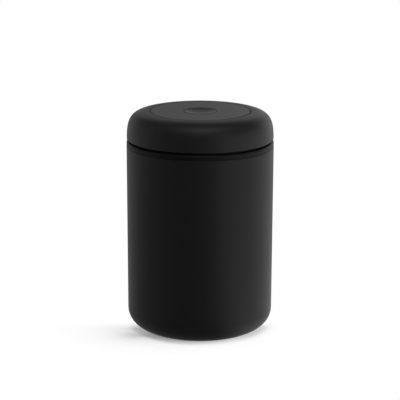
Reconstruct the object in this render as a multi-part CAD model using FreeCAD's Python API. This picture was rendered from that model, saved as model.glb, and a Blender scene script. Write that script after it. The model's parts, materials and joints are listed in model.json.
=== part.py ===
import FreeCAD
import Part

import math
import os

# Vacuum seal canister: a steel can closed by a lid with a pump in it. Twisting the cap back and
# forth turns a spiral cam, which drives two opposed pistons; they draw air out of the can through
# check valves. Pressing the button in the middle opens a valve that lets the air back in.
# Millimetres, +Z up, origin on the surface it stands on, at the axis of the can. The pistons run
# along X, and the pieces of the two pump sides are named right (+X) and left (-X).

# Steel can
BODY_R = 60.25
BODY_H = 152.7
WALL_T = 0.8
BASE_ROUND = 14.5
BASE_RING_W = 2.4
BASE_RISE = 1.2
RIM_T = 2.45
RIM_H = 9.0
RIM_ROUND = 0.7

# Silicone foot in the recess of the base
FOOT_PROUD = 1.0
FOOT_W = 8.0
FOOT_GAP = 0.4

# Fixed half of the lid: a flanged tub that plugs the mouth
BAND_H = 4.4
BAND_INSET = 0.05
BAND_ROUND = 1.6
PLUG_DEPTH = 28.0
PLUG_GAP = 2.4
PLUG_WALL_T = 4.0
PLUG_FLOOR_T = 4.8
PLUG_EDGE_ROUND = 2.5
SPIGOT_H = 4.4
SPIGOT_T = 2.0
SPIGOT_GAP = 0.5

# Gasket between the plug and the mouth
GASKET_DROP = 2.0
GASKET_H = 6.0
GASKET_GROOVE_D = 1.8
GASKET_GAP = 0.25
GASKET_FIN_H = 2.4

# Air intake under the plug
COVER_R = 32.0
COVER_T = 2.0
COVER_GAP = 0.15
FILTER_T = 0.6
FILTER_EDGE = 2.0
GRILLE_SLOTS = 20
GRILLE_SLOT_W = 1.8
GRILLE_R_IN = 12.0
GRILLE_R_OUT = 24.0
INTAKE_HOLES = 12
INTAKE_HOLE_R = 1.5
INTAKE_PCD_R = 19.0

# Pump manifold: plate, hollow post, guide rails and two barrels in one moulding
SEAL_T = 0.6
SEAL_W = 1.2
PLATE_T = 2.0
PLATE_GAP = 0.6
BORE_R = 9.0
BARREL_T = 2.0
BARREL_LIFT = 0.5
SADDLE_W = 10.0
RAIL_T = 2.0
RAIL_RISE = 1.5
POST_R = 8.0
JOURNAL_R = 6.5
SPRING_BORE_R = 4.6
SPRING_SEAT_H = 5.0
STEM_HOLE_R = 2.6
MANIFOLD_SCREWS = 4
MANIFOLD_SCREW_EDGE = 5.3
MANIFOLD_RIB_T = 1.6
MANIFOLD_RIB_H = 5.0
MANIFOLD_RIB_EDGE = 4.0
MANIFOLD_RIB_TURNS = (60.0, 90.0, 120.0)

# Cylinder heads and their inlet valves
HEAD_GAP = 0.5
HEAD_FLANGE_T = 3.0
HEAD_SPIGOT_L = 2.5
HEAD_DUCT_R = 1.2
HEAD_GROOVE_W = 1.6
HEAD_GROOVE_D = 1.0
VALVE_DOME_R = 5.0
VALVE_DOME_H = 1.3
VALVE_TAIL_R = 1.1

# Pistons
CROWN_T = 5.0
CROWN_GAP = 0.5
TOP_CLEARANCE = 2.0
CUP_W = 2.6
CUP_DEPTH = 2.4
CUP_GAP = 0.05
ROD_R = 3.0
CROSSHEAD_L = 8.0
CROSSHEAD_W = 8.0
CROSSHEAD_H = 8.0
SLIDE_GAP = 0.2
CROSSHEAD_GAP = 0.8

# Followers that run in the cam slots
PIN_R = 1.75
BUSH_R = 3.0
SLOT_GAP = 0.1

# Cam plate and what holds it on the post
TWIST_DEG = 45.0
SLOT_OVERRUN_DEG = 5.0
CAM_T = 3.0
CAM_GAP = 1.6
CAM_RIM = 2.5
CAM_BUSH_T = 2.0
JOURNAL_GAP = 0.05
WASHER_T = 0.6
WASHER_W = 3.0
CLIP_T = 0.8
CLIP_W = 3.0
CLIP_GROOVE_D = 1.0
CLIP_GAP = 0.2
CLIP_OPENING_DEG = 60.0
CAM_POST_R = 4.2
CAM_POST_PCD_R = 30.0
CAM_POST_SPREAD_DEG = 20.0

# Cap and its top panel
TWIST_GAP = 1.75
CAP_H = 22.25
CAP_INSET = 0.25
CAP_WALL_T = 2.6
CAP_TOP_T = 2.4
CAP_SKIRT = 0.8
CAP_LIP_ROUND = 0.25
CAP_ROUND_PULL = 0.77
CAP_LAND = 0.4
CAP_RIBS = 8
CAP_RIB_T = 1.6
CAP_RIB_H = 3.0
PANEL_R = 40.5
PANEL_T = 2.2
PANEL_GAP = 0.7

# Release button and the well that it slides in
BUTTON_R = 13.15
BUTTON_GAP = 0.6
BUTTON_TRAVEL = 2.5
BUTTON_LIP = 0.7
DISH_D = 1.4
BUTTON_SKIN_T = 1.6
BUTTON_FLANGE_W = 2.0
BUTTON_FLANGE_T = 1.2
BUTTON_STEM_R = 4.2
WELL_T = 1.6
WELL_GAP = 0.4

# Release valve
STEM_R = 1.6
STEM_HEAD_R = 4.3
STEM_HEAD_T = 3.0
STEM_HEAD_RISE = 2.0
PORT_R = 3.2
VALVE_SEAL_R = 5.0
VALVE_SEAL_T = 1.2
VALVE_SEAT_GAP = 0.1
RETAINER_T = 1.0
SPRING_WIRE_R = 0.4
SPRING_TURNS = 8

# Screws
SCREW_R = 1.45
SCREW_GAP = 0.05
SCREW_HOLE_GAP = 0.25
SCREW_HEAD_R = 2.9
PAN_HEAD_T = 1.8
SCREW_BITE = 3.0
CAM_SCREW_L = 10.0

# Small rounds and clearances shared by many pieces
EDGE = 0.4
SEAT_GAP = 0.02

# Heights, from the ground up
CAN_Z0 = FOOT_PROUD
RIM_Z = CAN_Z0 + BODY_H
BAND_Z1 = RIM_Z + BAND_H
CAP_Z0 = BAND_Z1 + TWIST_GAP
CAP_Z1 = CAP_Z0 + CAP_H
PANEL_Z0 = CAP_Z1 - PANEL_T
CEILING_Z = PANEL_Z0 - CAP_TOP_T
PLUG_Z0 = RIM_Z - PLUG_DEPTH
RECESS_Z = PLUG_Z0 + COVER_T + FILTER_T
FLOOR_Z1 = PLUG_Z0 + PLUG_FLOOR_T
PLATE_Z0 = FLOOR_Z1 + SEAL_T
PLATE_Z1 = PLATE_Z0 + PLATE_T
BARREL_R = BORE_R + BARREL_T
AXIS_Z = PLATE_Z1 + BARREL_LIFT + BARREL_R
CAM_Z0 = AXIS_Z + BARREL_R + CAM_GAP
CAM_Z1 = CAM_Z0 + CAM_T
SHOULDER_Z = CAM_Z0 - WASHER_T
CLIP_Z0 = CAM_Z1 + CLIP_GAP
POST_Z1 = CLIP_Z0 + CLIP_T + CLIP_GROOVE_D
STEM_TOP_Z = POST_Z1 + STEM_HEAD_RISE
STEM_HEAD_Z0 = STEM_TOP_Z - STEM_HEAD_T
SPRING_SEAT_Z = PLATE_Z1 + SPRING_SEAT_H
VALVE_SEAL_Z1 = RECESS_Z - VALVE_SEAT_GAP
RETAINER_Z1 = VALVE_SEAL_Z1 - VALVE_SEAL_T
RETAINER_Z0 = RETAINER_Z1 - RETAINER_T

# Radii, from the wall of the can inwards
MOUTH_R = BODY_R - RIM_T
BAND_R = BODY_R - BAND_INSET
PLUG_R = MOUTH_R - PLUG_GAP
TUB_R = PLUG_R - PLUG_WALL_T
CAP_R = BODY_R - CAP_INSET
CAP_BORE_R = CAP_R - CAP_WALL_T
SPIGOT_R = CAP_BORE_R - SPIGOT_GAP
POCKET_R = PANEL_R + PANEL_GAP
PLATE_R = TUB_R - PLATE_GAP
MANIFOLD_SCREW_PCD_R = PLATE_R - MANIFOLD_SCREW_EDGE
CLIP_GROOVE_R = JOURNAL_R - CLIP_GROOVE_D

# Stations along the pump axis, from the tub wall inwards. The stroke is what the room between the
# cylinder head and the post leaves.
HEAD_X1 = math.sqrt((TUB_R - HEAD_GAP) ** 2 - BARREL_R**2)
BARREL_X1 = HEAD_X1 - HEAD_FLANGE_T
CHAMBER_X = BARREL_X1 - HEAD_SPIGOT_L
PIN_X_MIN = POST_R + CROSSHEAD_GAP + CROSSHEAD_L / 2
PIN_TO_BARREL = PIN_R + 3 * SLIDE_GAP
CROWN_ENTRY = 1.0
STROKE = (CHAMBER_X - TOP_CLEARANCE - CROWN_T - PIN_TO_BARREL - CROWN_ENTRY - PIN_X_MIN) / 2
PIN_X = PIN_X_MIN + STROKE / 2
BARREL_X0 = PIN_X_MIN + STROKE + PIN_TO_BARREL
CROWN_X0 = BARREL_X0 + CROWN_ENTRY + STROKE / 2
CAM_PITCH = STROKE / 2 / math.radians(TWIST_DEG)
SLOT_W = BUSH_R + SLOT_GAP
SLOT_REACH = PIN_X + CAM_PITCH * math.radians(TWIST_DEG + SLOT_OVERRUN_DEG) + SLOT_W
CAM_R = max(SLOT_REACH, CAM_POST_PCD_R + CAM_POST_R) + CAM_RIM

ORIGIN = FreeCAD.Vector(0, 0, 0)
UP = FreeCAD.Vector(0, 0, 1)


class Round:
    """A corner of an outline rounded by an arc."""

    def __init__(self, radius):
        self.radius = radius

    def edge(self, before, corner, after):
        towards, onwards = unit(before - corner), unit(after - corner)
        half = towards.getAngle(onwards) / 2
        reach = self.radius / math.tan(half)
        bisector = unit(towards + onwards)
        middle = corner + bisector * (self.radius / math.sin(half) - self.radius)
        start, end = corner + towards * reach, corner + onwards * reach
        return start, end, Part.Arc(start, middle, end).toShape()


class Soft:
    """A corner of an outline drawn out into a long, soft curve with a length along each side."""

    def __init__(self, before_l, after_l):
        self.before_l, self.after_l = before_l, after_l

    def edge(self, before, corner, after):
        start = corner + unit(before - corner) * self.before_l
        end = corner + unit(after - corner) * self.after_l
        curve = Part.BezierCurve()
        pull = CAP_ROUND_PULL
        curve.setPoles([start, start + (corner - start) * pull, end + (corner - end) * pull, end])
        return start, end, curve.toShape()


class Bow:
    """The stretch between two points of an outline, as an arc through this point."""

    def __init__(self, r, z):
        self.middle = FreeCAD.Vector(r, 0, z)


def unit(vector):
    return FreeCAD.Vector(vector).normalize()


def outline(*steps):
    """A closed wire in the XZ plane through (r, z) or (r, z, corner) points, with Bows between."""
    points = [s for s in steps if not isinstance(s, Bow)]
    places = [FreeCAD.Vector(p[0], 0, p[1]) for p in points]
    bows = {}
    for i, step in enumerate(steps):
        if isinstance(step, Bow):
            bows[sum(not isinstance(s, Bow) for s in steps[:i]) - 1] = step
    arrive, leave, corners = [], [], []
    for i, point in enumerate(points):
        before, here, after = places[i - 1], places[i], places[(i + 1) % len(places)]
        start, end, edge = here, here, None
        if len(point) == 3:
            start, end, edge = point[2].edge(before, here, after)
        arrive.append(start)
        leave.append(end)
        corners.append(edge)
    edges = []
    for i in range(len(points)):
        if corners[i]:
            edges.append(corners[i])
        start, end = leave[i], arrive[(i + 1) % len(points)]
        if i in bows:
            edges.append(Part.Arc(start, bows[i].middle, end).toShape())
        elif start.distanceToPoint(end) > 1e-6:
            edges.append(Part.LineSegment(start, end).toShape())
    return Part.Wire(edges)


def lathe(*steps):
    """A solid turned about Z from an outline."""
    return Part.Face(outline(*steps)).revolve(ORIGIN, UP, 360)


def tube(r_out, r_in, z0, z1):
    return lathe((r_in, z0), (r_out, z0), (r_out, z1), (r_in, z1))


def rod(r, z0, z1, x=0.0, y=0.0):
    return Part.makeCylinder(r, z1 - z0, FreeCAD.Vector(x, y, z0), UP)


def block(x0, x1, y0, y1, z0, z1):
    return Part.makeBox(x1 - x0, y1 - y0, z1 - z0, FreeCAD.Vector(x0, y0, z0))


def turned(shape, degrees):
    copy = shape.copy()
    copy.rotate(ORIGIN, UP, degrees)
    return copy


def ring_of(shape, count, first=0.0):
    """Copies of a shape, evenly spaced about Z."""
    return [turned(shape, first + 360.0 * i / count) for i in range(count)]


def on_pump_axis(shape):
    """Lays a shape that was turned about Z along +X, at the height of the pump axis."""
    copy = shape.copy()
    copy.rotate(ORIGIN, FreeCAD.Vector(0, 1, 0), 90)
    copy.translate(FreeCAD.Vector(0, 0, AXIS_Z))
    return copy


def union(shapes):
    return shapes[0].multiFuse(shapes[1:]).removeSplitter()


# Can

def canister_shell():
    """Deep-drawn cup: a round at the foot, a step up in the base, and a hem folded in at the rim."""
    ring_r1 = BODY_R - BASE_ROUND
    ring_r0 = ring_r1 - BASE_RING_W
    dome_r = ring_r0 - BASE_RISE
    dome_z = CAN_Z0 + BASE_RISE
    step_shift = WALL_T * math.tan(math.radians(22.5))
    rim_round = Round(min(RIM_ROUND, RIM_T * 0.4))
    hem_z = RIM_Z - RIM_H
    soft = Round(EDGE)
    return lathe(
        (0, dome_z),
        (dome_r, dome_z, soft),
        (ring_r0, CAN_Z0, soft),
        (BODY_R, CAN_Z0, Round(BASE_ROUND)),
        (BODY_R, RIM_Z, rim_round),
        (MOUTH_R, RIM_Z, rim_round),
        (MOUTH_R, hem_z, soft),
        (BODY_R - WALL_T, hem_z - (RIM_T - WALL_T), soft),
        (BODY_R - WALL_T, CAN_Z0 + WALL_T, Round(BASE_ROUND - WALL_T)),
        (ring_r0 + step_shift, CAN_Z0 + WALL_T, soft),
        (dome_r + step_shift, dome_z + WALL_T, soft),
        (0, dome_z + WALL_T),
    )


def foot_ring():
    """Silicone ring in the recess of the base, which the can stands on."""
    r_out = BODY_R - BASE_ROUND - BASE_RING_W - BASE_RISE - FOOT_GAP
    r_in = r_out - FOOT_W
    top = CAN_Z0 + BASE_RISE
    return lathe((r_in, 0, Round(EDGE)), (r_out, 0, Round(EDGE)), (r_out, top), (r_in, top))


# Fixed half of the lid

def gasket_z():
    top = RIM_Z - GASKET_DROP
    return top - GASKET_H, top


def lower_housing():
    """Flanged tub: its flange is the band that shows under the cap and rests on the rim."""
    groove_z0, groove_z1 = gasket_z()
    groove_r = PLUG_R - GASKET_GROOVE_D
    spigot_in = SPIGOT_R - SPIGOT_T
    spigot_z1 = BAND_Z1 + SPIGOT_H
    tub = lathe(
        (0, RECESS_Z),
        (COVER_R, RECESS_Z),
        (COVER_R, PLUG_Z0, Round(EDGE)),
        (PLUG_R, PLUG_Z0, Round(PLUG_EDGE_ROUND)),
        (PLUG_R, groove_z0),
        (groove_r, groove_z0),
        (groove_r, groove_z1),
        (PLUG_R, groove_z1),
        (PLUG_R, RIM_Z),
        (BAND_R, RIM_Z, Round(EDGE)),
        (BAND_R, BAND_Z1, Round(BAND_ROUND)),
        (SPIGOT_R, BAND_Z1),
        (SPIGOT_R, spigot_z1, Round(EDGE)),
        (spigot_in, spigot_z1, Round(EDGE)),
        (spigot_in, BAND_Z1),
        (TUB_R, BAND_Z1),
        (TUB_R, FLOOR_Z1),
        (0, FLOOR_Z1),
    )
    holes = [rod(PORT_R, RECESS_Z, FLOOR_Z1)]
    holes += ring_of(rod(INTAKE_HOLE_R, RECESS_Z, FLOOR_Z1, INTAKE_PCD_R), INTAKE_HOLES)
    pilot = rod(SCREW_R + SCREW_GAP, FLOOR_Z1 - SCREW_BITE - EDGE, FLOOR_Z1, MANIFOLD_SCREW_PCD_R)
    holes += ring_of(pilot, MANIFOLD_SCREWS, 180.0 / MANIFOLD_SCREWS)
    return tub.cut(holes)


def mouth_gasket():
    """Silicone ring in the plug's groove, with two fins that wipe the mouth."""
    z0, z1 = gasket_z()
    z0, z1 = z0 + SEAT_GAP, z1 - SEAT_GAP
    root = PLUG_R - GASKET_GROOVE_D + SEAT_GAP
    neck = PLUG_R + EDGE
    tip = MOUTH_R - GASKET_GAP
    tip_round = Round(EDGE / 2)
    return lathe(
        (root, z0),
        (neck, z0),
        (tip, z0 + GASKET_FIN_H / 2, tip_round),
        (neck, z0 + GASKET_FIN_H),
        (neck, z1 - GASKET_FIN_H),
        (tip, z1 - GASKET_FIN_H / 2, tip_round),
        (neck, z1),
        (root, z1),
    )


def grille_slot():
    """One round-ended intake slot, on +X."""
    half = GRILLE_SLOT_W / 2
    x0, x1 = GRILLE_R_IN + half, GRILLE_R_OUT - half
    z1 = PLUG_Z0 + COVER_T
    ends = [rod(half, PLUG_Z0, z1, x) for x in (x0, x1)]
    return union([block(x0, x1, -half, half, PLUG_Z0, z1)] + ends)


def intake_cover():
    """Snap-in cover under the plug, with the intake grille round the release valve's hole."""
    r_in = VALVE_SEAL_R + 2 * WELL_GAP
    r_out = COVER_R - COVER_GAP
    z1 = PLUG_Z0 + COVER_T
    plate = lathe(
        (r_in, PLUG_Z0, Round(EDGE)),
        (r_out, PLUG_Z0, Round(EDGE)),
        (r_out, z1),
        (r_in, z1),
    )
    return plate.cut(ring_of(grille_slot(), GRILLE_SLOTS))


def filter_disc():
    """Fine mesh behind the grille that keeps crumbs out of the pump."""
    z0 = PLUG_Z0 + COVER_T
    return tube(COVER_R - FILTER_EDGE, VALVE_SEAL_R + 2 * WELL_GAP, z0, z0 + FILTER_T)


def manifold_seal():
    """Flat ring that seals the pump's plate to the floor of the tub."""
    r_out = PLATE_R - EDGE
    return tube(r_out, r_out - SEAL_W, FLOOR_Z1, PLATE_Z0)


def pump_manifold():
    """Plate with the hollow post in its middle and a barrel, saddle and guide rails on each side."""
    plate = rod(PLATE_R, PLATE_Z0, PLATE_Z1)
    post = lathe(
        (0, PLATE_Z1),
        (POST_R, PLATE_Z1),
        (POST_R, SHOULDER_Z),
        (JOURNAL_R, SHOULDER_Z),
        (JOURNAL_R, CLIP_Z0),
        (CLIP_GROOVE_R, CLIP_Z0),
        (CLIP_GROOVE_R, CLIP_Z0 + CLIP_T + 2 * SEAT_GAP),
        (JOURNAL_R, CLIP_Z0 + CLIP_T + 2 * SEAT_GAP),
        (JOURNAL_R, POST_Z1, Round(EDGE)),
        (0, POST_Z1),
    )
    barrel = on_pump_axis(rod(BARREL_R, BARREL_X0, BARREL_X1))
    saddle = block(BARREL_X0, BARREL_X1, -SADDLE_W / 2, SADDLE_W / 2, PLATE_Z1, AXIS_Z)
    rail_y0 = CROSSHEAD_W / 2 + SLIDE_GAP
    rail_y1 = rail_y0 + RAIL_T
    rail_z1 = AXIS_Z + RAIL_RISE
    rails = [
        block(0, BARREL_X0, rail_y0, rail_y1, PLATE_Z1, rail_z1),
        block(0, BARREL_X0, -rail_y1, -rail_y0, PLATE_Z1, rail_z1),
    ]
    rib_r1 = PLATE_R - MANIFOLD_RIB_EDGE
    half_t = MANIFOLD_RIB_T / 2
    rib = block(0, rib_r1, -half_t, half_t, PLATE_Z1, PLATE_Z1 + MANIFOLD_RIB_H)
    ribs = [turned(rib, turn) for turn in MANIFOLD_RIB_TURNS]
    side = [barrel, saddle] + rails + ribs
    other = [turned(s, 180) for s in side]
    bore = on_pump_axis(rod(BORE_R, BARREL_X0, BARREL_X1))
    port = rod(HEAD_DUCT_R, PLATE_Z0, PLATE_Z1, duct_x())
    cuts = [bore, port, turned(bore, 180), turned(port, 180)]
    cuts += [rod(SPRING_BORE_R, SPRING_SEAT_Z, POST_Z1), rod(STEM_HOLE_R, PLATE_Z0, SPRING_SEAT_Z)]
    hole = rod(SCREW_R + SCREW_HOLE_GAP, PLATE_Z0, PLATE_Z1, MANIFOLD_SCREW_PCD_R)
    cuts += ring_of(hole, MANIFOLD_SCREWS, 180.0 / MANIFOLD_SCREWS)
    return union([plate, post] + side + other).cut(cuts)


def manifold_screws():
    """Pan-head screws that hold the manifold down in the tub."""
    screw = lathe(
        (0, FLOOR_Z1 - SCREW_BITE),
        (SCREW_R, FLOOR_Z1 - SCREW_BITE),
        (SCREW_R, PLATE_Z1),
        (SCREW_HEAD_R, PLATE_Z1),
        (SCREW_HEAD_R, PLATE_Z1 + PAN_HEAD_T, Round(PAN_HEAD_T / 2)),
        (0, PLATE_Z1 + PAN_HEAD_T),
    )
    screw.translate(FreeCAD.Vector(MANIFOLD_SCREW_PCD_R, 0, 0))
    return Part.makeCompound(ring_of(screw, MANIFOLD_SCREWS, 180.0 / MANIFOLD_SCREWS))


def duct_x():
    """Where the head's duct comes up from the plate."""
    return BARREL_X1 + HEAD_FLANGE_T / 2


def cylinder_head():
    """Plug in the outer end of a barrel, with the duct and the seat of the inlet valve."""
    tail_r = VALVE_TAIL_R + SEAT_GAP
    groove_r0 = VALVE_DOME_R - EDGE - HEAD_GROOVE_W
    groove_r1 = groove_r0 + HEAD_GROOVE_W
    spigot_r = BORE_R - SEAT_GAP
    flange_r = BARREL_R - EDGE
    head = on_pump_axis(lathe(
        (tail_r, CHAMBER_X),
        (groove_r0, CHAMBER_X),
        (groove_r0, CHAMBER_X + HEAD_GROOVE_D),
        (groove_r1, CHAMBER_X + HEAD_GROOVE_D),
        (groove_r1, CHAMBER_X),
        (spigot_r, CHAMBER_X),
        (spigot_r, BARREL_X1),
        (flange_r, BARREL_X1),
        (flange_r, HEAD_X1, Round(EDGE)),
        (tail_r, HEAD_X1),
    ))
    duct_top = AXIS_Z - (groove_r0 + groove_r1) / 2
    riser = rod(HEAD_DUCT_R, AXIS_Z - BARREL_R, duct_top, duct_x())
    cross_r = (HEAD_GROOVE_W - EDGE) / 2
    cross = on_pump_axis(rod(cross_r, CHAMBER_X + HEAD_GROOVE_D / 2, duct_x()))
    cross.translate(FreeCAD.Vector(0, 0, duct_top - AXIS_Z))
    return head.cut([riser, cross])


def inlet_valve():
    """Rubber umbrella valve that covers the groove of the head and opens into the barrel."""
    dome_x0 = CHAMBER_X - VALVE_DOME_H
    tail_x1 = HEAD_X1 - EDGE
    return on_pump_axis(lathe(
        (0, dome_x0),
        Bow(VALVE_DOME_R * 0.75, CHAMBER_X - VALVE_DOME_H * 0.7),
        (VALVE_DOME_R, CHAMBER_X - SEAT_GAP - EDGE),
        (VALVE_DOME_R, CHAMBER_X - SEAT_GAP),
        (VALVE_TAIL_R, CHAMBER_X - SEAT_GAP),
        (VALVE_TAIL_R, tail_x1, Round(EDGE)),
        (0, tail_x1),
    ))


def thrust_washer():
    """Slip washer between the post's shoulder and the cam plate."""
    return tube(JOURNAL_R + WASHER_W, JOURNAL_R + JOURNAL_GAP, SHOULDER_Z, CAM_Z0)


def retaining_clip():
    """Spring clip in the post's groove that keeps the cam plate, and with it the cap, down."""
    z0 = CLIP_Z0 + SEAT_GAP
    ring = tube(CLIP_GROOVE_R + CLIP_W, CLIP_GROOVE_R + SEAT_GAP, z0, z0 + CLIP_T)
    reach = CLIP_GROOVE_R + 2 * CLIP_W
    half = math.radians(CLIP_OPENING_DEG / 2)
    mouth = Part.makePolygon([
        FreeCAD.Vector(0, 0, z0),
        FreeCAD.Vector(reach * math.cos(half), -reach * math.sin(half), z0),
        FreeCAD.Vector(reach * math.cos(half), reach * math.sin(half), z0),
        FreeCAD.Vector(0, 0, z0),
    ])
    return ring.cut(Part.Face(mouth).extrude(UP * CLIP_T))


def valve_spring():
    """Coil spring round the valve's stem, one tube along quarter-turn arcs of a helix."""
    mean_r = SPRING_BORE_R - 3 * SPRING_WIRE_R
    z0 = SPRING_SEAT_Z + SPRING_WIRE_R + SEAT_GAP
    z1 = STEM_HEAD_Z0 - SPRING_WIRE_R - SEAT_GAP
    pitch = (z1 - z0) / SPRING_TURNS
    print("spring: gap between turns %.2f mm" % (pitch - 2 * SPRING_WIRE_R))

    def point(turns):
        angle = 2 * math.pi * turns
        return FreeCAD.Vector(mean_r * math.cos(angle), mean_r * math.sin(angle), z0 + pitch * turns)

    quarters = range(4 * SPRING_TURNS)
    arcs = [Part.Arc(point(i / 4), point((i + 0.5) / 4), point((i + 1) / 4)).toShape() for i in quarters]
    path = Part.Wire(arcs)
    start = arcs[0].tangentAt(arcs[0].FirstParameter)
    section = Part.Wire(Part.Circle(point(0), start, SPRING_WIRE_R).toShape())
    return path.makePipeShell([section], True, False)


# Twisting half of the lid

def cap_shell():
    """Moulded cap: a soft shoulder, a pocket for the panel, a well for the button and ribs beneath."""
    shoulder_h = CAP_H - CAP_SKIRT
    shoulder = Soft(shoulder_h, CAP_R - POCKET_R - CAP_LAND)
    inner_top = CAP_Z1 - CAP_WALL_T
    step_r = POCKET_R + CAP_TOP_T
    inside = Soft(CAP_BORE_R - step_r - EDGE, shoulder_h - CAP_WALL_T)
    well_r, well_z0, well_z1 = well()
    shell = lathe(
        (CAP_BORE_R, CAP_Z0, Round(EDGE)),
        (CAP_R, CAP_Z0, Round(CAP_LIP_ROUND)),
        (CAP_R, CAP_Z1, shoulder),
        (POCKET_R, CAP_Z1, Round(EDGE / 2)),
        (POCKET_R, PANEL_Z0),
        (well_r, PANEL_Z0),
        (well_r, well_z1),
        (BUTTON_STEM_R + SLIDE_GAP, well_z1),
        (BUTTON_STEM_R + SLIDE_GAP, well_z0),
        (well_r + WELL_T, well_z0, Round(EDGE)),
        (well_r + WELL_T, CEILING_Z),
        (step_r, CEILING_Z),
        (step_r, inner_top),
        (CAP_BORE_R, inner_top, inside),
    )
    rib_r0, rib_r1 = well_r + WELL_T / 2, step_r + EDGE
    half_t = CAP_RIB_T / 2
    rib = block(rib_r0, rib_r1, -half_t, half_t, CEILING_Z - CAP_RIB_H, CEILING_Z)
    shell = union([shell] + ring_of(rib, CAP_RIBS))
    hole_r = SCREW_R + SCREW_HOLE_GAP
    sink_r = SCREW_HEAD_R + SCREW_HOLE_GAP
    hole = lathe(
        (0, CEILING_Z),
        (hole_r, CEILING_Z),
        (hole_r, PANEL_Z0 - (sink_r - hole_r)),
        (sink_r, PANEL_Z0),
        (0, PANEL_Z0),
    )
    return shell.cut(on_cam_posts(hole))


def well():
    """Radius, underside and floor of the well that the button slides in."""
    radius = BUTTON_R + BUTTON_FLANGE_W + WELL_GAP
    floor = PANEL_Z0 - BUTTON_FLANGE_T - BUTTON_TRAVEL - 2 * WELL_GAP
    return radius, floor - WELL_T, floor


def top_panel():
    """Inset disc that hides the cap's screws and keeps the button in."""
    r_in = BUTTON_R + BUTTON_GAP
    return lathe(
        (r_in, PANEL_Z0),
        (PANEL_R, PANEL_Z0),
        (PANEL_R, CAP_Z1, Round(EDGE / 2)),
        (r_in, CAP_Z1, Round(EDGE / 2)),
    )


def on_cam_posts(shape):
    """Copies of a shape made on the axis, one at each post of the cam plate."""
    copies = []
    for side in (90, 270):
        for turn in (-CAM_POST_SPREAD_DEG, CAM_POST_SPREAD_DEG):
            copy = shape.copy()
            copy.translate(FreeCAD.Vector(CAM_POST_PCD_R, 0, 0))
            copies.append(turned(copy, side + turn))
    return copies


def cam_slot():
    """Slot that follows an Archimedean spiral, so that the piston moves evenly with the twist."""
    reach = math.radians(TWIST_DEG + SLOT_OVERRUN_DEG)
    steps = 12

    def wall(angle, offset):
        r = PIN_X - CAM_PITCH * angle
        along = FreeCAD.Vector(-CAM_PITCH, r, 0).normalize()
        place = FreeCAD.Vector(r + offset * along.y, -offset * along.x, CAM_Z0)
        return place, FreeCAD.Vector(r - offset * along.y, offset * along.x, CAM_Z0)

    def turned_point(point, angle):
        c, s = math.cos(angle), math.sin(angle)
        return FreeCAD.Vector(point.x * c - point.y * s, point.x * s + point.y * c, point.z)

    def end_point(angle, sense):
        r = PIN_X - CAM_PITCH * angle
        along = FreeCAD.Vector(-CAM_PITCH, r, 0).normalize()
        return turned_point(FreeCAD.Vector(r, 0, CAM_Z0) + along * (sense * SLOT_W), angle)

    angles = [reach * (2.0 * i / steps - 1) for i in range(steps + 1)]
    walls = [[turned_point(p, a) for p in wall(a, SLOT_W)] for a in angles]
    sides = []
    for k in (0, 1):
        curve = Part.BSplineCurve()
        curve.interpolate([pair[k] for pair in walls])
        sides.append(curve.toShape())
    first = Part.Arc(walls[0][0], end_point(-reach, -1), walls[0][1]).toShape()
    last = Part.Arc(walls[-1][0], end_point(reach, 1), walls[-1][1]).toShape()
    outline_wire = Part.Wire(Part.__sortEdges__([sides[0], last, sides[1], first]))
    return Part.Face(outline_wire).extrude(UP * CAM_T)


def cam_plate():
    """Drive plate with two spiral slots, and posts that carry the cap."""
    bore_r = JOURNAL_R + JOURNAL_GAP + CAM_BUSH_T + SEAT_GAP
    plate = tube(CAM_R, bore_r, CAM_Z0, CAM_Z1)
    posts = on_cam_posts(rod(CAM_POST_R, CAM_Z0, CEILING_Z))
    slot = cam_slot()
    pilot = rod(SCREW_R + SCREW_GAP, PANEL_Z0 - CAM_SCREW_L - EDGE, CEILING_Z)
    return union([plate] + posts).cut([slot, turned(slot, 180)] + on_cam_posts(pilot))


def cam_bush():
    """Bearing bush pressed into the cam plate, running on the post."""
    r_in = JOURNAL_R + JOURNAL_GAP
    return tube(r_in + CAM_BUSH_T, r_in, CAM_Z0, CAM_Z1)


def cam_screws():
    """Countersunk screws from the pocket of the cap into the posts, under the panel."""
    sink = SCREW_HEAD_R - SCREW_R
    top = PANEL_Z0 - SCREW_HOLE_GAP
    screw = lathe(
        (0, PANEL_Z0 - CAM_SCREW_L),
        (SCREW_R, PANEL_Z0 - CAM_SCREW_L),
        (SCREW_R, top - sink),
        (SCREW_HEAD_R, top),
        (0, top),
    )
    return Part.makeCompound(on_cam_posts(screw))


# Release button and valve

def release_button():
    """Dished button on a stem, kept in by a flange under the panel."""
    rim = BUTTON_R - BUTTON_LIP
    dish_z = CAP_Z1 - DISH_D
    dish_r = (rim**2 + DISH_D**2) / (2 * DISH_D)
    half = rim / 2
    dish_half_z = dish_z + dish_r - math.sqrt(dish_r**2 - half**2)
    flange_z1 = PANEL_Z0 - SLIDE_GAP
    flange_z0 = flange_z1 - BUTTON_FLANGE_T
    flange_r = BUTTON_R + BUTTON_FLANGE_W
    under_z = dish_z - BUTTON_SKIN_T
    return lathe(
        (0, STEM_TOP_Z),
        (BUTTON_STEM_R, STEM_TOP_Z, Round(EDGE)),
        (BUTTON_STEM_R, under_z),
        (BUTTON_R - BUTTON_SKIN_T, under_z),
        (BUTTON_R - BUTTON_SKIN_T, min(under_z, flange_z0)),
        (flange_r, min(under_z, flange_z0)),
        (flange_r, flange_z1),
        (BUTTON_R, flange_z1),
        (BUTTON_R, CAP_Z1, Round(EDGE)),
        (rim, CAP_Z1),
        Bow(half, dish_half_z),
        (0, dish_z),
    )


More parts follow.
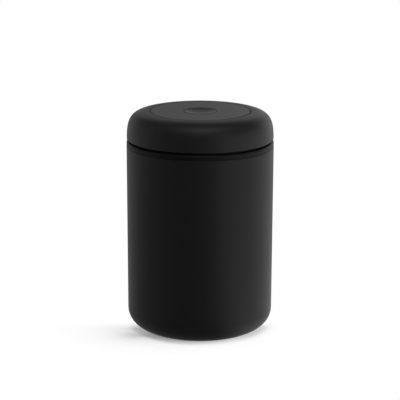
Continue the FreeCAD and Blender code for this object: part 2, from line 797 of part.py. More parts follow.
def valve_stem():
    """Stem with a head that the button presses and the spring lifts."""
    foot_z = RETAINER_Z0
    return lathe(
        (0, foot_z),
        (STEM_R, foot_z),
        (STEM_R, STEM_HEAD_Z0),
        (STEM_HEAD_R, STEM_HEAD_Z0),
        (STEM_HEAD_R, STEM_TOP_Z, Round(EDGE)),
        (0, STEM_TOP_Z),
    )


def valve_seal():
    """Rubber disc that closes the port from below."""
    return tube(VALVE_SEAL_R, STEM_R + SEAT_GAP, RETAINER_Z1, VALVE_SEAL_Z1)


def valve_retainer():
    """Push-on washer that keeps the seal on the stem."""
    r_out = VALVE_SEAL_R - 2 * EDGE
    return lathe(
        (STEM_R + SEAT_GAP, RETAINER_Z0),
        (r_out, RETAINER_Z0, Round(EDGE)),
        (r_out, RETAINER_Z1),
        (STEM_R + SEAT_GAP, RETAINER_Z1),
    )


# Pistons

def piston():
    """Crosshead, rod and crown in one moulding, with a groove for the cup."""
    crown_r = BORE_R - CROWN_GAP
    groove_x0 = CROWN_X0 + (CROWN_T - CUP_W) / 2
    body = on_pump_axis(lathe(
        (0, PIN_X),
        (ROD_R, PIN_X),
        (ROD_R, CROWN_X0),
        (crown_r - EDGE, CROWN_X0),
        (crown_r - EDGE, groove_x0),
        (crown_r - CUP_DEPTH, groove_x0),
        (crown_r - CUP_DEPTH, groove_x0 + CUP_W),
        (crown_r, groove_x0 + CUP_W),
        (crown_r, CROWN_X0 + CROWN_T, Round(EDGE)),
        (0, CROWN_X0 + CROWN_T),
    ))
    half_l, half_w, half_h = CROSSHEAD_L / 2, CROSSHEAD_W / 2, CROSSHEAD_H / 2
    crosshead = block(
        PIN_X - half_l, PIN_X + half_l, -half_w, half_w, AXIS_Z - half_h, AXIS_Z + half_h
    )
    pin_hole = rod(PIN_R + SEAT_GAP, pin_z0(), AXIS_Z + half_h, PIN_X)
    return union([body, crosshead]).cut(pin_hole)


def piston_cup():
    """Rubber cup whose lip lets air past one way and grips the bore the other way."""
    x0 = CROWN_X0 + (CROWN_T - CUP_W) / 2 + SEAT_GAP
    x1 = x0 + CUP_W - 2 * SEAT_GAP
    root = BORE_R - CROWN_GAP - CUP_DEPTH + SEAT_GAP
    lip = BORE_R - CUP_GAP
    middle = (root + lip) / 2
    web = (x0 + x1) / 2
    return on_pump_axis(lathe(
        (root, x0),
        (middle - EDGE, x0),
        (middle, web),
        (lip - EDGE, x0),
        (lip, x0),
        (lip - EDGE, x1),
        (root, x1),
    ))


def pin_z0():
    return AXIS_Z - CROSSHEAD_H / 2 + EDGE


def follower_pin():
    """Steel pin that stands up from the crosshead into the cam slot."""
    return rod(PIN_R, pin_z0(), CAM_Z1 - EDGE / 2, PIN_X)


def follower_bush():
    """Nylon sleeve on the pin that bears on the walls of the slot."""
    bush = tube(BUSH_R, PIN_R + SEAT_GAP, CAM_Z0, CAM_Z1 - EDGE / 2)
    bush.translate(FreeCAD.Vector(PIN_X, 0, 0))
    return bush


PIECES = {
    "canister_shell": canister_shell,
    "foot_ring": foot_ring,
    "lower_housing": lower_housing,
    "mouth_gasket": mouth_gasket,
    "intake_cover": intake_cover,
    "filter_disc": filter_disc,
    "manifold_seal": manifold_seal,
    "pump_manifold": pump_manifold,
    "manifold_screws": manifold_screws,
    "thrust_washer": thrust_washer,
    "retaining_clip": retaining_clip,
    "valve_spring": valve_spring,
    "cap_shell": cap_shell,
    "top_panel": top_panel,
    "cam_plate": cam_plate,
    "cam_bush": cam_bush,
    "cam_screws": cam_screws,
    "release_button": release_button,
    "valve_stem": valve_stem,
    "valve_seal": valve_seal,
    "valve_retainer": valve_retainer,
}

PUMP_PIECES = {
    "cylinder_head": cylinder_head,
    "inlet_valve": inlet_valve,
    "piston": piston,
    "piston_cup": piston_cup,
    "follower_pin": follower_pin,
    "follower_bush": follower_bush,
}


def export(name, shape):
    assert shape.isValid(), name
    assert all(solid.Volume > 0 for solid in shape.Solids), name
    shape.exportStep("parts/%s.step" % name)


def main():
    os.makedirs("parts", exist_ok=True)
    for name, make in PIECES.items():
        export(name, make())
    for name, make in PUMP_PIECES.items():
        right = make()
        export(name + "_right", right)
        export(name + "_left", turned(right, 180))
    print("height %.1f mm, stroke %.2f mm, cam %.4f mm per radian" % (CAP_Z1, STROKE, CAM_PITCH))
    print("pump axis z %.2f, cam plate z %.2f to %.2f" % (AXIS_Z, CAM_Z0, CAM_Z1))


main()
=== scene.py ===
# %% [markdown]
# # A twist-to-pump vacuum canister
# The real object is a straight steel can, coated matte black, with a lid in two halves: a plug that sits
# in the mouth and a cap that twists on it. The measured parts come in as a fixed frame, in metres. This
# script never moves them: it gives them their finishes, and turns the main round pieces anew with finer,
# smoother faces than the frame has.

# %% Load the frame
import json
import math

import bmesh
import bpy
from mathutils import Matrix, Vector

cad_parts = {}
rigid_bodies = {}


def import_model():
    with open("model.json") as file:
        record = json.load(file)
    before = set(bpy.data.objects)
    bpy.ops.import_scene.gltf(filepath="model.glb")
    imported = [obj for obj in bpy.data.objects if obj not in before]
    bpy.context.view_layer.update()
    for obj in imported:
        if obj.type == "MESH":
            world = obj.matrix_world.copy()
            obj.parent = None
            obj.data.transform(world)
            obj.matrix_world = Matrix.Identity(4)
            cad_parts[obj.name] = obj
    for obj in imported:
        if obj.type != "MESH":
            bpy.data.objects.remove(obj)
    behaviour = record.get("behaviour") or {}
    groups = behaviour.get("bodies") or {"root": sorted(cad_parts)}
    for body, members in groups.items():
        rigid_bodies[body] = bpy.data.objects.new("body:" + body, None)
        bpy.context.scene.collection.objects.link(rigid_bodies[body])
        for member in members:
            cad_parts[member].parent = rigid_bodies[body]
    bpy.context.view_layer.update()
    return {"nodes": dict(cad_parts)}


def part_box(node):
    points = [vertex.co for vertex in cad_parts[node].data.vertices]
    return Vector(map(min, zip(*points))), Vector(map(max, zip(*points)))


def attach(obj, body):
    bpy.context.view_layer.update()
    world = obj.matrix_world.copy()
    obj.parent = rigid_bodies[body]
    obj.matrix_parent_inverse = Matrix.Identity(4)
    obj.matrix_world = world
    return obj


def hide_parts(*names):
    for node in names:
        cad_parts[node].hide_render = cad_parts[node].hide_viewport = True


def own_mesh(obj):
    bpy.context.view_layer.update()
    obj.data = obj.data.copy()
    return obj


MM = 0.001

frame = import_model()
nodes = frame["nodes"]

# %% [markdown]
# ## Reading sizes off the frame
# A round piece is known by how far it reaches from its axis and by its lowest and highest point, so those
# are read from the frame. Its box alone would give a radius that is a little short where no corner of a
# facet lies on the X axis, so the farthest corner is measured instead.

# %% Measure a round piece


def from_axis(node):
    """How far each corner of a node is from the axis of the can."""
    return [math.hypot(v.co.x, v.co.y) for v in nodes[node].data.vertices]


def reach(node):
    return max(from_axis(node))


def bore(node):
    return min(from_axis(node))


def heights(node):
    low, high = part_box(node)
    return low.z, high.z


CAN_R = reach("canister_shell")
CAN_Z0, RIM_Z = heights("canister_shell")
CAP_R = reach("cap_shell")
CAP_Z0, CAP_Z1 = heights("cap_shell")
PANEL_R = reach("top_panel")
PANEL_Z0, PANEL_Z1 = heights("top_panel")
measured = tuple(v / MM for v in (CAN_R, RIM_Z, CAP_Z0, CAP_Z1))
print("can radius %.2f mm, rim at %.1f mm, cap %.1f to %.1f mm" % measured)

# %% [markdown]
# ## Finishes as sums
# A finish is a Principled shader fed by a few noises. Wiring Math nodes by hand hides the sum that they
# make, so a small class wraps a socket: adding or multiplying wrapped sockets in Python adds the Math
# nodes. Any other node comes from one method, which sets the node's own settings before its sockets.

# %% A socket that can be added and multiplied
TINY = 1e-9


class Signal:
    """An output socket in a shader tree. Arithmetic on it adds Math nodes."""

    def __init__(self, shading, socket):
        self.shading = shading
        self.socket = socket

    def math(self, operation, *terms):
        return self.shading.node("ShaderNodeMath", {"operation": operation}, dict(enumerate(terms)))

    def __add__(self, other):
        return self.math("ADD", self, other)

    def __radd__(self, other):
        return self.math("ADD", other, self)

    def __sub__(self, other):
        return self.math("SUBTRACT", self, other)

    def __rsub__(self, other):
        return self.math("SUBTRACT", other, self)

    def __mul__(self, other):
        return self.math("MULTIPLY", self, other)

    def __rmul__(self, other):
        return self.math("MULTIPLY", other, self)

    def __truediv__(self, other):
        return self.math("DIVIDE", self, other)

    def __rtruediv__(self, other):
        return self.math("DIVIDE", other, self)

    def __pow__(self, other):
        return self.math("POWER", self, other)

    def most(self, other):
        """The larger of two values."""
        return self.math("MAXIMUM", self, other)

    def ramp(self, low, high):
        """0 below low, 1 above high, with a soft step in between."""
        sockets = {"Value": self, "From Min": low, "From Max": high}
        return self.shading.node("ShaderNodeMapRange", {"interpolation_type": "SMOOTHSTEP"}, sockets)


class Shading:
    """A shader tree whose nodes are added call by call."""

    def __init__(self, tree):
        self.tree = tree

    def node(self, kind, settings, sockets, output=0):
        """Adds a node: its own settings first, then values or links for its sockets."""
        made = self.tree.nodes.new(kind)
        for name, value in settings.items():
            setattr(made, name, value)
        self.feed(made, sockets)
        return Signal(self, made.outputs[output])

    def feed(self, node, sockets):
        for name, value in sockets.items():
            if isinstance(value, Signal):
                self.tree.links.new(value.socket, node.inputs[name])
            else:
                node.inputs[name].default_value = value

    def place(self):
        return self.node("ShaderNodeTexCoord", {}, {}, "Object")

    def xyz(self, place):
        return [self.node("ShaderNodeSeparateXYZ", {}, {0: place}, axis) for axis in range(3)]

    def off_axis(self, x, y):
        """The distance from the axis of the can, never quite 0 because it is divided by."""
        return (x * x + y * y + TINY) ** 0.5

    def ray(self, kind):
        """1 for rays of a kind, such as Is Camera Ray."""
        return self.node("ShaderNodeLightPath", {}, {}, kind)


class Finish(Shading):
    """The material of a piece: one Principled shader, with its constants set on its own sockets."""

    def __init__(self, name, constants):
        self.material = bpy.data.materials.new(name)
        self.material.use_nodes = True
        super().__init__(self.material.node_tree)
        self.shader = self.tree.nodes["Principled BSDF"]
        self.feed(self.shader, constants)

    def noise(self, size, detail=2.0, place=None):
        """Noise from 0 to 1 whose spots are about this large, in metres."""
        sockets = {"Vector": place or self.place(), "Scale": 1.0 / size, "Detail": detail}
        return self.node("ShaderNodeTexNoise", {}, sockets, "Fac")

    def blend(self, factor, first, second):
        """A colour between two colours."""
        sockets = {"Factor": factor, 6: first, 7: second}
        return self.node("ShaderNodeMix", {"data_type": "RGBA"}, sockets, 2)

    def bump(self, height, depth, strength):
        """Feeds the shader's normal with a relief of this depth, in metres."""
        normal = self.node("ShaderNodeBump", {}, {"Height": height, "Distance": depth, "Strength": strength})
        self.feed(self.shader, {"Normal": normal})


def grey(level):
    return (level, level, level, 1)


print("shader helpers ready")

# %% [markdown]
# ## The blacks
# Everything in view is black, and the blacks differ only in how they scatter light. The can has a baked
# powder coat with a faint orange peel. The lid is moulded in a mould with a fine spark-eroded skin. Each
# gets a grain of its real size as a shallow relief, and slow patches that make it a touch more or less
# rough, because one flat value looks like a drawing. The band's black is darker than the cap's as
# painted shade, for the shade under the cap's edge.

# %% Make the black finishes
PATCH_SIZE = 30 * MM
PATCH_TONE = 0.12
PATCH_ROUGH = 0.04
GRAIN_ROUGH = 0.02
GRAIN_STRENGTH = 0.35


def black(name, level, roughness, grain_size, grain_depth, specular):
    """A matte black with a fine grain and slow patches in its tone and gloss."""
    finish = Finish(name, {"Specular IOR Level": specular})
    patches = finish.noise(PATCH_SIZE, 3.0)
    grain = finish.noise(grain_size, 1.0)
    colour = finish.blend(patches, grey(level * (1 - PATCH_TONE)), grey(level * (1 + PATCH_TONE)))
    smoothest = roughness - (PATCH_ROUGH + GRAIN_ROUGH) / 2
    rough = smoothest + patches * PATCH_ROUGH + grain * GRAIN_ROUGH
    finish.feed(finish.shader, {"Base Color": colour, "Roughness": rough})
    finish.bump(grain, grain_depth, GRAIN_STRENGTH)
    return finish.material


can_black = black("can_powder_coat", 0.0025, 0.55, 0.55 * MM, 0.012 * MM, 0.117)
cap_black = black("cap_spark_skin", 0.0030, 0.55, 0.30 * MM, 0.012 * MM, 0.134)
# The band under the cap's edge gets a darker, duller copy of the cap's skin: painted shade for the shade
# there.
band_painted_shade_black = black("band_spark_skin", 0.0011, 0.55, 0.30 * MM, 0.012 * MM, 0.072)
panel_black = black("panel_satin_skin", 0.0037, 0.52, 0.25 * MM, 0.008 * MM, 0.150)
button_black = black("button_satin_skin", 0.0037, 0.52, 0.25 * MM, 0.008 * MM, 0.150)
print("blacks:", can_black.name, cap_black.name, band_painted_shade_black.name, panel_black.name, button_black.name)

# %% [markdown]
# ## Bare steel
# Inside, the can is bare steel, and a polishing wheel has left fine lines round the wall. Noise squeezed
# along Z gives such lines. Feeding it the direction from the axis, and not an angle, leaves no seam.

# %% Make the steel finishes
LINE_LENGTH = 2 * MM
LINE_TINT = (0.86, 0.86, 0.84)
STEEL_TINT = (1.0, 1.0, 0.98)
LINE_ROUGH = 0.10
STAIN_ROUGH = 0.05
LINE_DEPTH = 0.004 * MM
LINE_STRENGTH = 0.4


def tinted(tint, tone):
    return tuple(tone * c for c in tint) + (1,)


def steel(name, tone, roughness, line_size):
    """Metal with fine lines that run round the axis of the can."""
    finish = Finish(name, {"Metallic": 1.0})
    x, y, z = finish.xyz(finish.place())
    radius = finish.off_axis(x, y)
    turn = LINE_LENGTH / line_size
    sockets = {"X": x / radius * turn, "Y": y / radius * turn, "Z": (z + radius) / line_size}
    around = finish.node("ShaderNodeCombineXYZ", {}, sockets)
    lines = finish.noise(1.0, 3.0, around)
    stains = finish.noise(PATCH_SIZE, 2.0)
    colour = finish.blend(lines, tinted(LINE_TINT, tone), tinted(STEEL_TINT, tone))
    rough = roughness - LINE_ROUGH / 2 + lines * LINE_ROUGH + stains * STAIN_ROUGH
    finish.feed(finish.shader, {"Base Color": colour, "Roughness": rough})
    finish.bump(lines, LINE_DEPTH, LINE_STRENGTH)
    return finish.material


can_steel = steel("can_bare_steel", 0.62, 0.48, 0.25 * MM)
plated_steel = steel("plated_fastener", 0.66, 0.28, 0.10 * MM)
wire_steel = steel("drawn_spring_wire", 0.55, 0.32, 0.08 * MM)
print("steels:", can_steel.name, plated_steel.name, wire_steel.name)

# %% [markdown]
# ## Rubbers and inner mouldings
# The seals are soft grey silicone that dust clings to, and the pump inside is moulded in slippery
# polymers that are left in their own colour. They are told apart by tone, gloss and a little light that
# soaks in.

# %% Make the soft and inner finishes
SOAK_DEPTH = 0.4 * MM
FLOW_SIZE = 9 * MM
FLOW_TONE = 0.90
FLOW_ROUGH = 0.05
SKIN_ROUGH = 0.04
SKIN_DEPTH = 0.010 * MM
SKIN_STRENGTH = 0.4


def moulding(name, colour, roughness, grain_size, soak=0.0):
    """A polymer in its own colour, with a fine skin and faint flow marks."""
    finish = Finish(name, {"Subsurface Weight": soak, "Subsurface Scale": SOAK_DEPTH})
    flow = finish.noise(FLOW_SIZE, 2.0)
    skin = finish.noise(grain_size, 2.0)
    tint = finish.blend(flow, tinted(colour, FLOW_TONE), tinted(colour, 1.0))
    rough = roughness - SKIN_ROUGH + flow * FLOW_ROUGH + skin * SKIN_ROUGH
    finish.feed(finish.shader, {"Base Color": tint, "Roughness": rough})
    finish.bump(skin, SKIN_DEPTH, SKIN_STRENGTH)
    return finish.material


seal_grey = moulding("seal_grey_silicone", (0.12, 0.122, 0.125), 0.58, 0.5 * MM, 0.10)
foot_black = moulding("foot_black_silicone", (0.022, 0.022, 0.023), 0.66, 0.5 * MM)
cup_rubber = moulding("cup_black_rubber", (0.018, 0.018, 0.019), 0.55, 0.4 * MM)
white_polymer = moulding("pump_white_polymer", (0.74, 0.73, 0.69), 0.38, 0.3 * MM, 0.15)
grey_polymer = moulding("pump_grey_polymer", (0.24, 0.25, 0.26), 0.40, 0.3 * MM, 0.05)
amber_polymer = moulding("amber_bearing", (0.55, 0.33, 0.10), 0.36, 0.3 * MM, 0.10)
print("soft:", seal_grey.name, foot_black.name, cup_rubber.name)
print("inner:", white_polymer.name, grey_polymer.name, amber_polymer.name)

# %% [markdown]
# ## Outlines with rounded corners
# A turned piece is known by half of its section. The section is written as its few corners, each with the
# radius that it is rounded to, and a helper samples the arcs. The cap's shoulder isn't an arc: it draws
# out softly to both sides, so its corner is a cubic curve with a length along each side.

# %% Sample a section
ARC_STEPS = 8
SOFT_STEPS = 40
SHOULDER_PULL = 0.77
SUPPORT = 1.2 * MM
LONG = 4 * SUPPORT


def arc_corner(before, corner, after, radius):
    towards, onwards = (before - corner).normalized(), (after - corner).normalized()
    half = towards.angle(onwards) / 2
    centre = corner + (towards + onwards).normalized() * (radius / math.sin(half))
    first = corner + towards * (radius / math.tan(half)) - centre
    last = corner + onwards * (radius / math.tan(half)) - centre
    sweep = first.angle(last)
    points = []
    for i in range(ARC_STEPS + 1):
        t = i / ARC_STEPS
        mixed = first * math.sin((1 - t) * sweep) + last * math.sin(t * sweep)
        points.append(centre + mixed / math.sin(sweep))
    return points


def soft_corner(before, corner, after, before_l, after_l):
    start = corner + (before - corner).normalized() * before_l
    end = corner + (after - corner).normalized() * after_l
    pull_a, pull_b = start.lerp(corner, SHOULDER_PULL), end.lerp(corner, SHOULDER_PULL)
    points = []
    for i in range(SOFT_STEPS + 1):
        t = i / SOFT_STEPS
        s = 1 - t
        points.append(start * s**3 + pull_a * 3 * s * s * t + pull_b * 3 * s * t * t + end * t**3)
    return points


def section(corners, closed):
    """Points of a section from (r, z), (r, z, radius) or (r, z, before length, after length) corners."""
    places = [Vector((c[0], c[1])) for c in corners]
    points = []
    for i, corner in enumerate(corners):
        before, after = places[i - 1], places[(i + 1) % len(places)]
        if len(corner) == 3:
            points += arc_corner(before, places[i], after, corner[2])
        elif len(corner) == 4:
            points += soft_corner(before, places[i], after, corner[2], corner[3])
        else:
            points.append(places[i])
    if closed:
        points.append(points[0].copy())
    return with_supports(points)


def with_supports(points):
    """Adds a point near each end of a long stretch, which keeps the shading of flats flat."""
    made = [points[0]]
    for a, b in zip(points, points[1:]):
        length = (b - a).length
        if length > LONG:
            share = SUPPORT / length
            made += [a.lerp(b, share), a.lerp(b, 1 - share)]
        made.append(b)
    return made


print("section helpers ready")

# %% [markdown]
# ## Turning by nodes
# Spinning a section about the axis is one rule, so one Geometry Nodes tree turns every round piece: a
# grid is laid out, one way along the section and the other way round the axis, and each of its corners
# is set to where the rule puts it. The seam and the poles are then merged, so the piece is closed.

# %% Build the turning tree
TURN_SEGMENTS = 192
MERGE = 0.002 * MM


class NodeTree:
    """A Geometry Nodes tree whose nodes are added call by call."""

    def __init__(self, name, inputs):
        self.tree = bpy.data.node_groups.new(name, "GeometryNodeTree")
        face = self.tree.interface
        face.new_socket("Geometry", in_out="OUTPUT", socket_type="NodeSocketGeometry")
        self.ids = {}
        for label, kind in inputs.items():
            self.ids[label] = face.new_socket(label, in_out="INPUT", socket_type=kind).identifier
        self.source = self.tree.nodes.new("NodeGroupInput")

    def input(self, label):
        return self.source.outputs[label]

    def node(self, kind, settings, sockets, output=0):
        made = self.tree.nodes.new(kind)
        for name, value in settings.items():
            setattr(made, name, value)
        for name, value in sockets.items():
            if isinstance(value, bpy.types.NodeSocket):
                self.tree.links.new(value, made.inputs[name])
            else:
                made.inputs[name].default_value = value
        return made.outputs[output]

    def math(self, operation, *terms):
        return self.node("ShaderNodeMath", {"operation": operation}, dict(enumerate(terms)))

    def xyz(self, place):
        return [self.node("ShaderNodeSeparateXYZ", {}, {0: place}, axis) for axis in range(3)]

    def finish(self, geometry, material):
        whole = self.node("GeometryNodeRealizeInstances", {}, {"Geometry": geometry})
        dressed = self.node("GeometryNodeSetMaterial", {}, {"Geometry": whole, "Material": material})
        sink = self.tree.nodes.new("NodeGroupOutput")
        self.tree.links.new(dressed, sink.inputs[0])


def turning_tree():
    kinds = {
        "Geometry": "NodeSocketGeometry",
        "Segments": "NodeSocketInt",
        "Section Points": "NodeSocketInt",
        "Finish": "NodeSocketMaterial",
    }
    t = NodeTree("turned_piece", kinds)
    columns = t.math("ADD", t.input("Segments"), 1)
    size = {"Size X": 1.0, "Size Y": 1.0, "Vertices X": columns, "Vertices Y": t.input("Section Points")}
    grid = t.node("GeometryNodeMeshGrid", {}, size)
    here = t.node("GeometryNodeInputPosition", {}, {})
    grid_x, grid_y, _ = t.xyz(here)
    turn = t.math("MULTIPLY", t.math("ADD", grid_x, 0.5), 2 * math.pi)
    last = t.math("SUBTRACT", t.input("Section Points"), 1)
    row = t.math("ROUND", t.math("MULTIPLY", t.math("ADD", grid_y, 0.5), last))
    lookup = {"Geometry": t.input("Geometry"), "Value": here, "Index": row}
    profile = t.node("GeometryNodeSampleIndex", {"data_type": "FLOAT_VECTOR"}, lookup, "Value")
    radius, _, height = t.xyz(profile)
    x = t.math("MULTIPLY", radius, t.math("COSINE", turn))
    y = t.math("MULTIPLY", radius, t.math("SINE", turn))
    spot = t.node("ShaderNodeCombineXYZ", {}, {0: x, 1: y, 2: height})
    turned = t.node("GeometryNodeSetPosition", {}, {"Geometry": grid, "Position": spot})
    merged = t.node("GeometryNodeMergeByDistance", {}, {"Geometry": turned, "Distance": MERGE})
    t.finish(merged, t.input("Finish"))
    return t


TURNING = turning_tree()
print("turning tree:", len(TURNING.tree.nodes), "nodes")

# %% [markdown]
# A modifier's result is copied into a plain mesh. The copy starts with
# the empty finish slot of the section line, which goes. Faces are turned outwards after the merge, and
# edges sharper than a limit stay sharp.

# %% Turn a section into a piece
SHARP = math.radians(32)


def plain_mesh(obj):
    """The evaluated object as a plain mesh, with its modifiers and empty finish slots gone."""
    depsgraph = bpy.context.evaluated_depsgraph_get()
    mesh = bpy.data.meshes.new_from_object(obj.evaluated_get(depsgraph))
    if mesh.materials[0] is None:
        mesh.materials.pop(index=0)
    obj.modifiers.clear()
    obj.data = mesh
    return mesh


def outwards(mesh):
    work = bmesh.new()
    work.from_mesh(mesh)
    bmesh.ops.recalc_face_normals(work, faces=work.faces)
    work.to_mesh(mesh)
    work.free()
    mesh.shade_smooth()
    mesh.set_sharp_from_angle(angle=SHARP)


def run_tree(obj, tree, values):
    """Runs a node tree on an object, with its inputs set by their identifiers."""
    modifier = obj.modifiers.new(tree.tree.name, "NODES")
    modifier.node_group = tree.tree
    for label, value in values.items():
        modifier[tree.ids[label]] = value
    return plain_mesh(obj)


def turned_piece(name, points, finish, body, node):
    """A round piece that stands for a node of the frame."""
    line = bpy.data.meshes.new(name + "_section")
    line.from_pydata([(p.x, 0, p.y) for p in points], [(i, i + 1) for i in range(len(points) - 1)], [])
    obj = bpy.data.objects.new(name, line)
    bpy.context.scene.collection.objects.link(obj)
    values = {"Segments": TURN_SEGMENTS, "Section Points": len(points), "Finish": finish}
    mesh = run_tree(obj, TURNING, values)
    mesh.name = name
    outwards(mesh)
    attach(obj, body)
    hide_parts(node)
    print(name, len(mesh.polygons), "faces")
    return obj


# %% [markdown]
# ## The can
# Deep drawn from one sheet: a generous round at the foot, a step up in the base for the foot ring, and a
# hem folded in at the rim. It is turned as one closed section, so that the wall has its real thickness
# when the lid is off. The coat covers the outside and stops in the mouth; the faces that look inwards
# are bare steel.

# %% Turn the can
WALL = 0.8 * MM
BASE_ROUND = 14.5 * MM
BASE_RING = 2.4 * MM
BASE_RISE = 1.2 * MM
HEM = 2.45 * MM
HEM_H = 9.0 * MM
RIM_ROUND = 0.7 * MM
EDGE = 0.4 * MM
MOUTH_R = CAN_R - HEM
STEP_SLOPE = math.radians(45)
FACES_UP = 0.5


def can_section():
    ring_r = CAN_R - BASE_ROUND - BASE_RING
    dome_r, dome_z = ring_r - BASE_RISE, CAN_Z0 + BASE_RISE
    shift = WALL * math.tan(STEP_SLOPE / 2)
    hem_z = RIM_Z - HEM_H
    inside_r = CAN_R - WALL
    corners = [
        (0, dome_z),
        (dome_r, dome_z, EDGE),
        (ring_r, CAN_Z0, EDGE),
        (CAN_R, CAN_Z0, BASE_ROUND),
        (CAN_R, RIM_Z, RIM_ROUND),
        (MOUTH_R, RIM_Z, RIM_ROUND),
        (MOUTH_R, hem_z, EDGE),
        (inside_r, hem_z - (HEM - WALL), EDGE),
        (inside_r, CAN_Z0 + WALL, BASE_ROUND - WALL),
        (ring_r + shift, CAN_Z0 + WALL, EDGE),
        (dome_r + shift, dome_z + WALL, EDGE),
        (0, dome_z + WALL),
    ]
    return section(corners, closed=False)


def bare_inside(obj, finish):
    """Gives the faces that look to the axis, or up from the floor, the bare steel."""
    obj.data.materials.append(finish)
    bare = len(obj.data.materials) - 1
    count = 0
    for face in obj.data.polygons:
        spot, normal = face.center, face.normal
        outward = spot.x * normal.x + spot.y * normal.y
        within_wall = math.hypot(spot.x, spot.y) < CAN_R - WALL / 2
        within_ends = CAN_Z0 + WALL / 2 < spot.z < RIM_Z - RIM_ROUND
        looks_in = outward < -TINY or normal.z > FACES_UP
        if within_wall and within_ends and looks_in:
            face.material_index = bare
            count += 1
    print("bare steel on", count, "faces inside")


can = turned_piece("can", can_section(), can_black, "canister", "canister_shell")
bare_inside(can, can_steel)

# %% [markdown]
# ## The cap and its panel
# The cap is moulded with a pocket for the panel in its top, so the panel's edge shows as a fine line.
# The panel is a plain disc with a hole for the button.

# %% Turn the cap and the panel
CAP_WALL = 2.6 * MM
CAP_TOP = 2.4 * MM
CAP_SKIRT = 0.8 * MM
CAP_LAND = 0.4 * MM
CAP_LIP = 0.25 * MM
PANEL_GAP = 0.7 * MM
POCKET_R = PANEL_R + PANEL_GAP
BUTTON_FLANGE = 2.0 * MM
BUTTON_R = reach("release_button") - BUTTON_FLANGE
BUTTON_GAP = 0.6 * MM
STEM_R = 4.2 * MM
WELL_GAP = 0.4 * MM
WELL_T = 1.6 * MM
WELL_DEPTH = 4.5 * MM


def cap_section():
    shoulder_h = CAP_Z1 - CAP_Z0 - CAP_SKIRT
    bore_r = CAP_R - CAP_WALL
    ceiling = PANEL_Z0 - CAP_TOP
    inner_top = CAP_Z1 - CAP_WALL
    step_r = POCKET_R + CAP_TOP
    well_r = reach("release_button") + WELL_GAP
    well_floor = PANEL_Z0 - WELL_DEPTH
    hole_r = STEM_R + WELL_GAP / 2
    corners = [
        (bore_r, CAP_Z0, EDGE),
        (CAP_R, CAP_Z0, CAP_LIP),
        (CAP_R, CAP_Z1, shoulder_h, CAP_R - POCKET_R - CAP_LAND),
        (POCKET_R, CAP_Z1, EDGE / 2),
        (POCKET_R, PANEL_Z0),
        (well_r, PANEL_Z0),
        (well_r, well_floor),
        (hole_r, well_floor),
        (hole_r, well_floor - WELL_T),
        (well_r + WELL_T, well_floor - WELL_T, EDGE),
        (well_r + WELL_T, ceiling),
        (step_r, ceiling),
        (step_r, inner_top),
        (bore_r, inner_top, bore_r - step_r - EDGE, shoulder_h - CAP_WALL),
    ]
    return section(corners, closed=True)


def panel_section():
    hole_r = BUTTON_R + BUTTON_GAP
    corners = [
        (hole_r, PANEL_Z0),
        (PANEL_R, PANEL_Z0),
        (PANEL_R, PANEL_Z1, EDGE / 2),
        (hole_r, PANEL_Z1, EDGE / 2),
    ]
    return section(corners, closed=True)


turned_piece("cap", cap_section(), cap_black, "cap", "cap_shell")
turned_piece("panel", panel_section(), panel_black, "cap", "top_panel")

# %% [markdown]
# ## The button
# A round button with a shallow dish for a fingertip. The dish is part of a sphere, so its section is an
# arc worked out from its depth and width.

# %% Turn the button
DISH_D = 1.4 * MM
BUTTON_LIP = 0.7 * MM
BUTTON_SKIN = 1.6 * MM
FLANGE_T = 1.2 * MM
FLANGE_GAP = 0.2 * MM
DISH_STEPS = 24


def button_section():
    flange_r = reach("release_button")
    foot_z, top = heights("release_button")
    rim = BUTTON_R - BUTTON_LIP
    ball = (rim**2 + DISH_D**2) / (2 * DISH_D)
    under = top - DISH_D - BUTTON_SKIN
    flange_top = PANEL_Z0 - FLANGE_GAP
    flange_under = min(under, flange_top - FLANGE_T)
    corners = [
        (0, foot_z),
        (STEM_R, foot_z, EDGE),
        (STEM_R, flange_under),
        (flange_r, flange_under),
        (flange_r, flange_top),
        (BUTTON_R, flange_top),
        (BUTTON_R, top, EDGE),
        (rim, top),
    ]
    for i in range(1, DISH_STEPS + 1):
        r = rim * (1 - i / DISH_STEPS)
        corners.append((r, top - DISH_D + ball - math.sqrt(ball**2 - r**2)))
    return section(corners, closed=False)


turned_piece("button", button_section(), button_black, "button", "release_button")

# %% [markdown]
# ## The silicone rings
# The gasket in the plug's groove has two soft fins that bend against the mouth, and the can stands on a
# flat ring. Both are turned with rounder edges than a hard piece would have, because silicone tears at
# sharp ones.

# %% Turn the gasket and the foot ring
FIN_H = 2.4 * MM
FIN_TIP = 0.3 * MM
FIN_ROOT = 0.5 * MM
RING_EDGE = 0.8 * MM
GASKET_NECK = 2.2 * MM


def gasket_section():
    z0, z1 = heights("mouth_gasket")
    root, tip = bore("mouth_gasket"), reach("mouth_gasket")
    neck = root + GASKET_NECK
    corners = [
        (root, z0),
        (neck, z0),
        (tip + FIN_TIP, z0 + FIN_H / 2, FIN_TIP),
        (neck, z0 + FIN_H, FIN_ROOT),
        (neck, z1 - FIN_H, FIN_ROOT),
        (tip + FIN_TIP, z1 - FIN_H / 2, FIN_TIP),
        (neck, z1),
        (root, z1),
    ]
    return section(corners, closed=True)


def foot_section():
    z0, z1 = heights("foot_ring")
    r_in, r_out = bore("foot_ring"), reach("foot_ring")
    corners = [(r_in, z0, RING_EDGE), (r_out, z0, RING_EDGE), (r_out, z1), (r_in, z1)]
    return section(corners, closed=True)


turned_piece("gasket", gasket_section(), seal_grey, "lid_base", "mouth_gasket")
turned_piece("foot", foot_section(), foot_black, "canister", "foot_ring")

# %% [markdown]
# ## The spring
# A coil spring is one wire wound on a rule, so a second tree winds it: a spiral curve, lifted to its
# seat, swept with a round section. Its end turns lie closer, as the ends of a real one do. It is wound
# at its length in the frame, though the real one shortens as the valve opens.

# %% Wind the spring
SPRING_TURNS = 8
WIRE_R = 0.4 * MM
SPRING_STEPS = 40
WIRE_STEPS = 12
END_TURN = 0.11
END_RISE = 0.08


